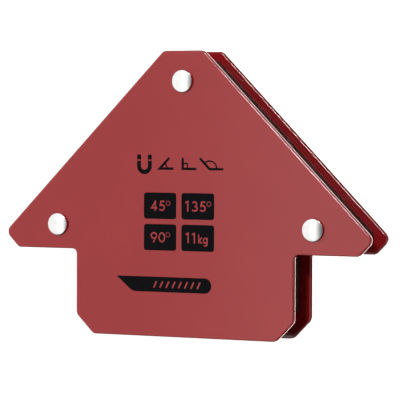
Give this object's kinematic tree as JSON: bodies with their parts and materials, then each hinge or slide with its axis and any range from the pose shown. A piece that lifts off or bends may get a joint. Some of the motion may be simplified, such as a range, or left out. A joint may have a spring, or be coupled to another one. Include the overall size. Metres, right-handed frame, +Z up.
{
  "type": "welding magnet holder",
  "caption": "Arrow-shaped magnetic holder for welding: two riveted steel plates over a magnet pack, with working edges at 45, 90 and 135 degrees.",
  "frame": {"origin": "centre of the bottom face, on the mid-plane between the two plates", "axes": "+Z up towards the arrow's flat top, +X along the bottom edge towards the right-hand tip, -Y out of the printed front plate"},
  "size_m": [0.1166, 0.015, 0.082],
  "materials": {
    "plate_lacquer": "satin red lacquer on steel",
    "rivet_plating": "bright nickel plating, lightly tumbled",
    "spacer_aluminium": "turned, dull",
    "carrier_plastic": "moulded black",
    "ferrite": "ground sintered ferrite",
    "print_ink": "screen-printed black ink"
  },
  "bodies": {
    "root": {"front_plate": "plate_lacquer", "back_plate": "plate_lacquer", "magnet_carrier": "carrier_plastic", "magnet_left": "ferrite", "magnet_right": "ferrite", "magnet_base": "ferrite", "rivet_top": "rivet_plating", "rivet_left": "rivet_plating", "rivet_right": "rivet_plating", "spacer_top": "spacer_aluminium", "spacer_left": "spacer_aluminium", "spacer_right": "spacer_aluminium"}
  },
  "joints": []
}
